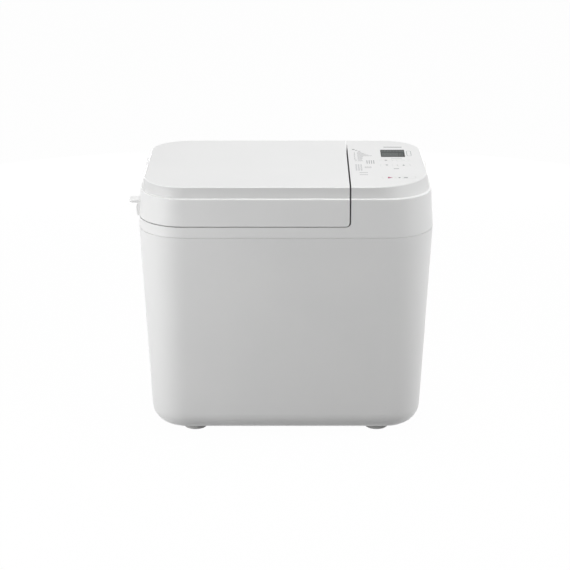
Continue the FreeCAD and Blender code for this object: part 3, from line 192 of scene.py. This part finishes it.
def coating(name, low, high, roughness):
    """Non-stick coating: dark, with pale flecks."""
    material, shader = new_material(name)
    flecks = noise(material, 1100.0, 1.0)
    tint(material, shader, flecks, low, high, 0.66, 0.74)
    wire(material, between(material, flecks, roughness, roughness + 0.1), shader.inputs["Roughness"])
    bump(material, shader, flecks, 0.2, 0.00003)
    shader.inputs["Specular IOR Level"].default_value = 0.55
    return material


def ink(name, colour, shine=0.5):
    """Screen print: nearly even, with a slight mottle and its own satin."""
    return plastic(name, colour, tuple(1.12 * c for c in colour), 0.5, 2600.0, 0.000008, shine=shine)


def white_plastic(name):
    """The housing's white: satin, under a faint gloss."""
    return plastic(name, (0.845, 0.848, 0.845), (0.865, 0.866, 0.862), 0.44, gloss=0.7)


def shade_between(material, axis, low, high, share, soft=0.3):
    """Paint shade into the plastic's colour between two planes across an axis: share is how much colour is
    left there.
    """
    shader = material.node_tree.nodes["Principled BSDF"]
    plain = shader.inputs["Base Color"].links[0].from_socket
    place = add_node(material, "ShaderNodeTexCoord")
    split = add_node(material, "ShaderNodeSeparateXYZ")
    wire(material, place.outputs["Object"], split.inputs["Vector"])
    rise = between(material, split.outputs[axis], 0.0, 1.0, (low - soft) * MM, low * MM)
    fall = between(material, split.outputs[axis], 1.0, 0.0, high * MM, (high + soft) * MM)
    both = add_node(material, "ShaderNodeMath")
    both.operation = "MULTIPLY"
    wire(material, rise, both.inputs[0])
    wire(material, fall, both.inputs[1])
    mix = add_node(material, "ShaderNodeMix")
    mix.data_type = "RGBA"
    mix.blend_type = "MULTIPLY"
    wire(material, both.outputs[0], mix.inputs[0])
    # The mix node's colours are its inputs 6 and 7 and its output 2
    wire(material, plain, mix.inputs[6])
    mix.inputs[7].default_value = (share, share, share, 1)
    wire(material, mix.outputs[2], shader.inputs["Base Color"])


white = white_plastic("white_satin_plastic")
key_white = white_plastic("white_key_plastic")
# A copy of the white with painted shade on its band and on the walls of the split
cover_white_painted_shade = white_plastic("white_cover_plastic_painted_shade")
# Painted shade: the band under the cap's edge is darkened in its colour
shade_between(cover_white_painted_shade, "Z", BAND_LOW, BAND_HIGH, 0.83)
# Painted shade: the walls of the split between the lid and the panel are darkened in their colour
shade_between(cover_white_painted_shade, "X", LID_END + SHIFT - SPLIT_PAST, PANEL_END + SHIFT + SPLIT_PAST, 0.45, 0.1)

grey_plastic = plastic("grey_base_plastic", (0.50, 0.50, 0.50), (0.56, 0.56, 0.56), 0.5, 700.0, 0.00006)
foot_rubber = plastic("foot_rubber", (0.70, 0.70, 0.69), (0.78, 0.78, 0.77), 0.62, 600.0, 0.00006)
black_plastic = plastic("black_plastic", (0.02, 0.02, 0.02), (0.035, 0.035, 0.035), 0.45)
dark_rubber = plastic("dark_rubber", (0.018, 0.018, 0.018), (0.03, 0.03, 0.03), 0.7)
ceramic = plastic("ceramic", (0.78, 0.75, 0.69), (0.84, 0.81, 0.75), 0.4)
board_green = plastic("solder_mask", (0.012, 0.10, 0.035), (0.02, 0.14, 0.05), 0.3)
pane = plastic("display_pane", (0.040, 0.045, 0.042), (0.046, 0.052, 0.048), 0.34, shine=0.05)
cell = plastic("display_cell", (0.16, 0.19, 0.15), (0.18, 0.21, 0.17), 0.3)
lamp = plastic("lamp_lens", (0.10, 0.095, 0.095), (0.13, 0.12, 0.12), 0.3, shine=0.3)

steel = metal("drawn_steel", (0.50, 0.50, 0.51), (0.60, 0.60, 0.61), 0.32, (1, 1, 0.04), 500.0)
bright_steel = metal("bright_steel", (0.58, 0.58, 0.60), (0.68, 0.68, 0.70), 0.22)
oven_steel = metal("oven_steel", (0.40, 0.40, 0.41), (0.52, 0.52, 0.53), 0.38, (0.05, 0.05, 1), 420.0)
aluminium = metal("satin_aluminium", (0.62, 0.62, 0.63), (0.72, 0.72, 0.73), 0.36)
heater_metal = metal("heater_sheath", (0.10, 0.095, 0.09), (0.17, 0.16, 0.15), 0.5)
bronze = metal("sintered_bronze", (0.42, 0.28, 0.13), (0.52, 0.36, 0.18), 0.4)
motor_metal = metal("motor_metal", (0.22, 0.22, 0.23), (0.32, 0.32, 0.33), 0.45, (1, 1, 12), 90.0)
nonstick = coating("nonstick_coating", (0.020, 0.020, 0.021), (0.13, 0.13, 0.13), 0.34)

grey_ink = ink("grey_ink", (0.26, 0.26, 0.27))
list_ink = ink("list_ink", (0.42, 0.42, 0.43))
pale_ink = ink("pale_ink", (0.44, 0.47, 0.46))
key_ink = ink("key_ink", (0.17, 0.17, 0.18))
red_ink = ink("crimson_ink", (0.40, 0.05, 0.15))
edge_ink = ink("display_edge", (0.040, 0.045, 0.042), 0.05)
dark_lcd = ink("display_segments", (0.100, 0.110, 0.106), 0.05)
lit_lcd = ink("display_field", (0.142, 0.156, 0.152), 0.05)

FINISH = {
    "white_shell": white, "white_keys": key_white, "base_plastic": grey_plastic,
    "foot_rubber": foot_rubber, "screw_steel": bright_steel, "display_pane": pane,
    "display_cell": cell, "board_laminate": board_green, "lamp_lens": lamp,
    "liner_aluminium": aluminium, "bracket_steel": steel, "oven_steel": oven_steel,
    "heater_sheath": heater_metal, "ceramic_bush": ceramic, "pan_coating": nonstick,
    "pan_aluminium": aluminium, "bearing_bronze": bronze, "seal_rubber": dark_rubber,
    "shaft_steel": bright_steel, "handle_plastic": black_plastic, "coupling_metal": steel,
    "pulley_plastic": black_plastic, "motor_metal": motor_metal,
}


def finish_nodes():
    """Give each solid the material of its slot, and the two covers their white with painted shade."""
    for part in frame["record"]["subparts"]:
        node = frame["nodes"][part["node"]]
        node.data.materials.clear()
        node.data.materials.append(FINISH[part["material_slot"]])
    for name in ("lid_cover", "control_panel"):
        frame["nodes"][name].data.materials[0] = cover_white_painted_shade


# Outlines: lists of points that run counterclockwise, seen from above

def arc(x, y, wide, deep, start, end, steps=28):
    """Points on an arc around (x, y), between two angles in degrees."""
    turns = [math.radians(start + (end - start) * i / steps) for i in range(steps + 1)]
    return [(x + wide * math.cos(t), y + deep * math.sin(t)) for t in turns]


def bar(x, y, width, depth):
    """The outline of a bar with clipped corners, around its middle."""
    a, b = width / 2, depth / 2
    c = 0.3 * min(a, b)
    return [(x - a + c, y - b), (x + a - c, y - b), (x + a, y - b + c), (x + a, y + b - c),
            (x + a - c, y + b), (x - a + c, y + b), (x - a, y + b - c), (x - a, y - b + c)]


def block(x, y, width, depth):
    """The outline of a plain rectangle, around its middle."""
    a, b = width / 2, depth / 2
    return [(x - a, y - b), (x + a, y - b), (x + a, y + b), (x - a, y + b)]


def round_block(x, y, width, depth, radius):
    """The outline of a rectangle with round corners, around its middle."""
    a, b = width / 2 - radius, depth / 2 - radius
    return [point for side, (u, v) in enumerate(((a, b), (-a, b), (-a, -b), (a, -b)))
            for point in arc(x + u, y + v, radius, radius, 90 * side, 90 * side + 90, 6)]


def oval(x, y, half_width, half_depth, sides=40):
    turns = [2 * math.pi * i / sides for i in range(sides)]
    return [(x + half_width * math.cos(t), y + half_depth * math.sin(t)) for t in turns]


def capsule(x, y, radius, half_depth, sides=40):
    """A round-ended outline, longer front to back."""
    reach = half_depth - radius
    return [(u, v + (reach if v > y else -reach)) for u, v in oval(x, y, radius, radius, sides)]


def outward(points):
    """The outward direction at each point of an outline."""
    result = []
    for i in range(len(points)):
        ahead, behind = points[min(i + 1, len(points) - 1)], points[max(i - 1, 0)]
        along = Vector((ahead[0] - behind[0], ahead[1] - behind[1])).normalized()
        result.append((along.y, -along.x))
    return result


def add_piece(name, body, material, work):
    """Make the mesh in work a piece that rides on a body."""
    mesh = bpy.data.meshes.new(name)
    work.to_mesh(mesh)
    work.free()
    mesh.materials.append(material)
    piece = bpy.data.objects.new(name, mesh)
    bpy.context.collection.objects.link(piece)
    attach(piece, body)
    return piece


# Covers: the cap's sides bow out further than those of the solids, and its front corners differ

def edge_profile(top, steps=7):
    """How far out the cap's rounded edge stands at each height, from the flat top down to the band."""
    turns = [math.radians(90 - EDGE_TURN * i / steps) for i in range(steps + 1)]
    return [(-ROUND + ROUND * math.cos(t), top - ROUND + ROUND * math.sin(t)) for t in turns]


def lid_path(corner, lean=0.0):
    """The lid's edge from its rear corner round to the split, moved out by the lean."""
    front, side = FRONT - lean, SIDE + lean
    path = arc(-REAR_X, REAR_Y, REAR_WIDE + lean, REAR_DEEP + PAST_REAR + lean, 90, 180)
    path += arc(corner - side, front + corner, corner, corner, 180, 270)
    return path + [(LID_END, front)]


def panel_path(corner, lean=0.0):
    """The panel's edge from the split round to its rear, moved out by the lean."""
    front, side = FRONT - lean, SIDE + lean
    path = [(PANEL_END, front)] + arc(side - corner, front + corner, corner, corner, -90, 0)
    path += arc(REAR_X, REAR_Y, REAR_WIDE + lean, REAR_DEEP + lean, 0, 90)
    return path + [(PANEL_END, BACK + lean)]


def add_cover(name, body, work):
    """Make a cover with a flat top and smooth edges, sharp where two faces meet at over 40 degrees."""
    bmesh.ops.recalc_face_normals(work, faces=work.faces)
    for face in work.faces:
        level = abs(face.normal.z) >= 0.999
        face.smooth = not level
    piece = add_piece(name, body, cover_white_painted_shade, work)
    piece.data.set_sharp_from_angle(angle=math.radians(40))
    return piece


def make_lid_rim():
    """The lid's bowed left side and front edge, fitted over the solid cap."""
    path = lid_path(LEFT_CORNER)
    foot = lid_path(FOOT_CORNER, LEAN)
    top = [(-TOP_REACH, PANEL_TOP + PROUD)] + edge_profile(PANEL_TOP + PROUD)
    work = bmesh.new()
    rows = []
    for (x, y), (a, b), (u, v) in zip(path, foot, outward(path)):
        points = [(x + u * far, y + v * far, z) for far, z in top]
        points += [(a - u * far, b - v * far, LEDGE + SEAT) for far in (0.0, FOOT_REACH)]
        rows.append([work.verts.new(mm(*point)) for point in points])
    for here, there in zip(rows, rows[1:]):
        for k in range(len(here)):
            work.faces.new((here[k - 1], here[k], there[k], there[k - 1]))
    work.faces.new(rows[0])
    work.faces.new(rows[-1])
    add_cover("lid_rim", "lid", work)


def panel_holes():
    """The outlines of the keys, the display and the lamp, with their clearance."""
    holes = []
    for key in KEYS:
        cap = [v.co for v in frame["nodes"][key + "_button"].data.vertices if v.co.z > KEY_EDGE * MM]
        x = (min(v.x for v in cap) + max(v.x for v in cap)) / 2 / MM - SHIFT
        y = (min(v.y for v in cap) + max(v.y for v in cap)) / 2 / MM
        holes.append(round_block(x, y, KEY_WIDE, KEY_DEEP, KEY_ROUND))
    holes.append(block(DISPLAY_X, DISPLAY_Y, DISPLAY_SIDE, DISPLAY_SIDE))
    holes.append(oval(LAMP_X, LAMP_Y, LAMP_RADIUS, LAMP_RADIUS, 24))
    return holes


def make_panel_cover():
    """The control panel's cap as a shell, with a rounder front corner than the solid."""
    path = panel_path(RIGHT_CORNER)
    foot = panel_path(FOOT_CORNER, LEAN)
    ways = outward(path)
    outlines = [([(x + u * far, y + v * far) for (x, y), (u, v) in zip(path, ways)], z)
                for far, z in edge_profile(PANEL_TOP)]
    within = [[x - u * 2 * WALL, y - v * 2 * WALL] for (x, y), (u, v) in zip(path, ways)]
    for end in (0, -1):
        within[end][0] += WALL
    outlines += [(foot, LEDGE + SEAT), (within, LEDGE + SEAT), (within, PANEL_TOP - WALL)]
    work = bmesh.new()
    rings = [[work.verts.new(mm(x, y, z)) for x, y in outline] for outline, z in outlines]
    for here, there in zip(rings, rings[1:]):
        for i in range(len(path)):
            work.faces.new((here[i - 1], here[i], there[i], there[i - 1]))
    holes = panel_holes()
    above = [[work.verts.new(mm(x, y, PANEL_TOP)) for x, y in hole] for hole in holes]
    below = [[work.verts.new(mm(x, y, PANEL_TOP - WALL)) for x, y in hole] for hole in holes]
    for high, low in zip(above, below):
        for i in range(len(high)):
            work.faces.new((high[i - 1], high[i], low[i], low[i - 1]))
    for loops in ([rings[0]] + above, [rings[-1]] + below):
        points = [vertex for loop in loops for vertex in loop]
        for corners in tessellate_polygon([[vertex.co for vertex in loop] for loop in loops]):
            work.faces.new([points[i] for i in corners])
    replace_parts(add_cover("panel_cover", "housing", work), "control_panel")


# Printed marks on the control panel, all generic: bars, plain numbers and symbols

def add_plate(mesh, outline, level):
    """A thin film with this outline that stands just above the surface at this level."""
    below = [mesh.verts.new(mm(x, y, level - SUNK)) for x, y in outline]
    above = [mesh.verts.new(mm(x, y, level + INK_HEIGHT)) for x, y in outline]
    mesh.faces.new(above)
    mesh.faces.new(below[::-1])
    for i in range(len(outline)):
        mesh.faces.new((below[i - 1], below[i], above[i], above[i - 1]))


def add_frame(mesh, outer, inner, level):
    """A thin film between two outlines with the same number of points."""
    rings = [[mesh.verts.new(mm(x, y, height)) for x, y in outline]
             for outline in (outer, inner) for height in (level - SUNK, level + INK_HEIGHT)]
    out_low, out_high, in_low, in_high = rings
    for i in range(len(outer)):
        for a, b in ((out_low, out_high), (out_high, in_high), (in_high, in_low), (in_low, out_low)):
            mesh.faces.new((a[i - 1], a[i], b[i], b[i - 1]))


def make_print(name, body, material, plates=(), frames=(), level=PANEL_TOP):
    work = bmesh.new()
    for outline in plates:
        add_plate(work, outline, level)
    for outer, inner in frames:
        add_frame(work, outer, inner, level)
    add_piece(name, body, material, work)


# Which of the seven strokes each plain number from 0 to 9 lights: top, upper left and right, middle,
# lower left and right, foot
STROKES = ["1110111", "0010010", "1011101", "1011011", "0111010",
           "1101011", "1101111", "1010010", "1111111", "1111011"]


def number_bars(digit, x, y, width, depth, line):
    """The strokes of one plain number, around its middle."""
    a, b = width / 2, depth / 2
    places = [(0, b, True), (-a, b / 2, False), (a, b / 2, False), (0, 0, True),
              (-a, -b / 2, False), (a, -b / 2, False), (0, -b, True)]
    shapes = []
    for lit, (u, v, flat) in zip(STROKES[digit], places):
        if lit == "1" and flat:
            shapes.append(bar(x + u, y + v, width - STROKE_CUT * line, line))
        elif lit == "1":
            shapes.append(bar(x + u, y + v, line, b - STROKE_CUT * line))
    return shapes


def whole_number(value, x, y, width, depth, line):
    """The strokes of a number of one or more digits, around the middle of its first digit."""
    shapes = []
    for place, digit in enumerate(str(value)):
        shapes += number_bars(int(digit), x + place * DIGIT_STEP * width, y, width, depth, line)
    return shapes


def print_display():
    """The display: a paler field above and below a dark line, with the time in plain numbers."""
    status_y, time_y = DISPLAY_Y + 11.4, DISPLAY_Y - 6.2
    front_edge, back_edge = DISPLAY_Y - 17.7, DISPLAY_Y + 17.4
    edge_width, time_depth = 33.5, 17.0
    make_print("display_field_top", "housing", lit_lcd, [block(DISPLAY_X, status_y, 30.6, 8.0)])
    make_print("display_field", "housing", lit_lcd, [block(145.0, time_y, 22.6, time_depth)])
    level_marks = [block(157.9 + 2.1 * i, time_y, 1.1, time_depth) for i in range(3)]
    make_print("display_levels", "housing", lit_lcd, level_marks)
    edges = [block(DISPLAY_X, front_edge, edge_width, 1.9), block(DISPLAY_X, back_edge, edge_width, 1.3)]
    make_print("display_edges", "housing", edge_ink, edges)
    segments = []
    for x in (137.6, 145.8, 152.6):
        segments += number_bars(0, x, time_y, *TIME_DIGIT)
    segments += [bar(141.7, time_y + v, 1.0, 1.0) for v in (-2.4, 2.4)]
    segments += [bar(136.2 + 4.2 * i, status_y - 0.2, 2.2, 3.6) for i in range(7)]
    make_print("display_segments", "housing", dark_lcd, segments, level=PANEL_TOP + INK_HEIGHT)


def print_program_list():
    """A faint list of program numbers with bars in the place of words."""
    title = [bar(94.6, 68.6, 3.6, 3.0), bar(98.4, 64.0, 3.2, 2.0), bar(102.4, 59.6, 3.4, 1.8)]
    first_y, row_step = 53.4, 4.3
    numbers_x, rows_x = 95.2, 99.2
    numbers, rows = [], []
    lengths = (6.4, 9.6, 12.2, 15.6, 20.4, 8.2, 6.6, 7.4, 5.8, 6.2, 7.0)
    for row, length in enumerate(lengths):
        y = first_y - row_step * row
        numbers += whole_number(row + 1, numbers_x, y, *LIST_DIGIT)
        rows.append(bar(rows_x + length / 2, y, length, 0.95))
    shades = [bar(111.6 + 3.1 * i, 4.8, 1.3, 17.0) for i in range(4)]
    lower = [bar(96.0 + 3.4 * column, -9.5 - 5.2 * row, 2.2, 2.4)
             for row in range(6) for column in range(3)]
    notes = [bar(112.0, y, 9.4, 1.0) for y in (-19.6, -23.4)]
    notes += [bar(105.2, y, 11.4, 1.1) for y in (-47.6, -57.4)]
    make_print("program_title", "housing", grey_ink, title)
    make_print("program_numbers", "housing", grey_ink, numbers)
    make_print("program_rows", "housing", grey_ink, rows + notes)
    make_print("program_levels", "housing", list_ink, shades + lower)


def print_key_marks():
    """A symbol on each key: lines, dots, arrows, a red triangle to start and a square to stop."""
    upper_y = 13.2
    three = (-1.6, 0, 1.6)
    lines = [bar(138.0, upper_y + v, 3.4, 0.7) for v in three]
    dots = [bar(161.4 + u, upper_y, 0.9, 0.9) for u in three]
    down = [(138.2, -13.0), (140.2, -9.0), (136.2, -9.0)]
    up = [(159.2, -12.8), (163.4, -12.8), (161.3, -8.6)]
    start = [(136.9, -75.6), (143.6, -71.8), (136.9, -68.0)]
    make_print("menu_mark", "menu_key", grey_ink, lines, level=KEY_TOP)
    make_print("option_mark", "option_key", pale_ink, dots, level=KEY_TOP)
    make_print("down_mark", "down_key", key_ink, [down], level=KEY_TOP)
    make_print("up_mark", "up_key", key_ink, [up], level=KEY_TOP)
    make_print("start_mark", "start_key", red_ink, [start], level=KEY_TOP)
    make_print("stop_mark", "stop_key", list_ink, [bar(161.2, -71.7, 5.0, 5.0)], level=KEY_TOP)


def print_rules():
    """Plain rules by the keys and the display, and a slim ring beside the display."""
    make_print("time_rule", "housing", list_ink, [bar(150.5, -28.4, 7.2, 2.6)])
    make_print("display_rule", "housing", pale_ink, [bar(153.2, 22.6, 15.0, 0.9)])
    make_print("head_rule", "housing", grey_ink, [bar(150.2, 80.8, 25.8, 2.4)])
    ring_x, ring_y, ring_line = 171.4, 48.4, 0.9
    outer = capsule(ring_x, ring_y, 3.4, 13.0)
    inner = capsule(ring_x, ring_y, 3.4 - ring_line, 13.0 - ring_line)
    make_print("slide_mark", "housing", pale_ink, frames=[(outer, inner)])


# Floor, light and camera

def mix_shaders(owner, factor, first, second):
    mix = add_node(owner, "ShaderNodeMixShader")
    if factor is not None:
        wire(owner, factor, mix.inputs["Fac"])
    wire(owner, first.outputs[0], mix.inputs[1])
    wire(owner, second.outputs[0], mix.inputs[2])
    return mix


def seen_directly(owner):
    """A factor that is 1 for camera, mirror and glass rays, and 0 for the rest."""
    path = add_node(owner, "ShaderNodeLightPath")
    total = path.outputs["Is Camera Ray"]
    for name in ("Is Glossy Ray", "Is Transmission Ray"):
        largest = add_node(owner, "ShaderNodeMath")
        largest.operation = "MAXIMUM"
        wire(owner, total, largest.inputs[0])
        wire(owner, path.outputs[name], largest.inputs[1])
        total = largest.outputs[0]
    return total


def make_floor():
    """A floor that shows as white and keeps a faint shadow, and throws back little light."""
    mesh = bpy.data.meshes.new("floor")
    corners = [(x, y, 0) for x, y in block(0, 0, 2 * FLOOR_REACH, 2 * FLOOR_REACH)]
    mesh.from_pydata(corners, [], [(0, 1, 2, 3)])
    floor = bpy.data.objects.new("floor", mesh)
    bpy.context.collection.objects.link(floor)
    material = bpy.data.materials.new("floor_white")
    material.use_nodes = True
    material.node_tree.nodes.clear()
    matte = add_node(material, "ShaderNodeBsdfDiffuse", Color=(0.22, 0.22, 0.22, 1))
    pale = add_node(material, "ShaderNodeBsdfDiffuse", Color=(0.9, 0.9, 0.9, 1))
    glow = add_node(material, "ShaderNodeEmission", Color=(1, 1, 1, 1), Strength=1.0)
    shown = mix_shaders(material, None, pale, glow)
    glow_share = 0.985
    shown.inputs["Fac"].default_value = glow_share
    both = mix_shaders(material, seen_directly(material), matte, shown)
    output = add_node(material, "ShaderNodeOutputMaterial")
    wire(material, both.outputs[0], output.inputs["Surface"])
    mesh.materials.append(material)


def make_world():
    """A faint light from all round, in front of a white backdrop."""
    world = bpy.data.worlds.new("studio")
    world.use_nodes = True
    scene.world = world
    world.node_tree.nodes.clear()
    lighting = add_node(world, "ShaderNodeBackground", Color=(1, 1, 1, 1), Strength=0.055)
    backdrop = add_node(world, "ShaderNodeBackground", Color=(1, 1, 1, 1), Strength=1.0)
    both = mix_shaders(world, seen_directly(world), lighting, backdrop)
    output = add_node(world, "ShaderNodeOutputWorld")
    wire(world, both.outputs[0], output.inputs["Surface"])


def add_light(name, place, size, power, mirrored=True):
    """A round soft box that faces the middle of the object, and shows itself at most in its gloss."""
    data = bpy.data.lights.new(name, "AREA")
    data.shape = "DISK"
    data.size = size
    data.energy = power
    light = bpy.data.objects.new(name, data)
    light.location = place
    light.rotation_euler = (AIM - Vector(place)).to_track_quat("-Z", "Y").to_euler()
    light.visible_camera = False
    light.visible_glossy = mirrored
    bpy.context.collection.objects.link(light)


def make_lights():
    """Soft boxes at both sides in front and above, and two small ones low behind, in metres and watts."""
    add_light("left", (-0.94, -0.63, 0.35), 0.85, 8.8, mirrored=False)
    add_light("right", (1.00, -0.46, 0.54), 0.85, 6.5, mirrored=False)
    add_light("top", (0.0, 0.10, 1.80), 1.0, 15.6)
    add_light("rear_left", (-0.45, 1.30, 0.16), 0.30, 3.6)
    add_light("rear_right", (0.45, 1.30, 0.16), 0.30, 3.2)


def make_camera():
    data = bpy.data.cameras.new("camera")
    data.sensor_width = SENSOR
    data.lens = LENS
    data.clip_end = 50.0
    camera = bpy.data.objects.new("camera", data)
    camera.location = mm(*CAMERA_PLACE)
    camera.rotation_euler = (math.radians(90 - CAMERA_DOWN), 0, 0)
    bpy.context.collection.objects.link(camera)
    scene.camera = camera


finish_nodes()
make_lid_rim()
make_panel_cover()
print_display()
print_program_list()
print_key_marks()
print_rules()
make_floor()
make_world()
make_lights()
make_camera()
scene.view_settings.view_transform = "Standard"
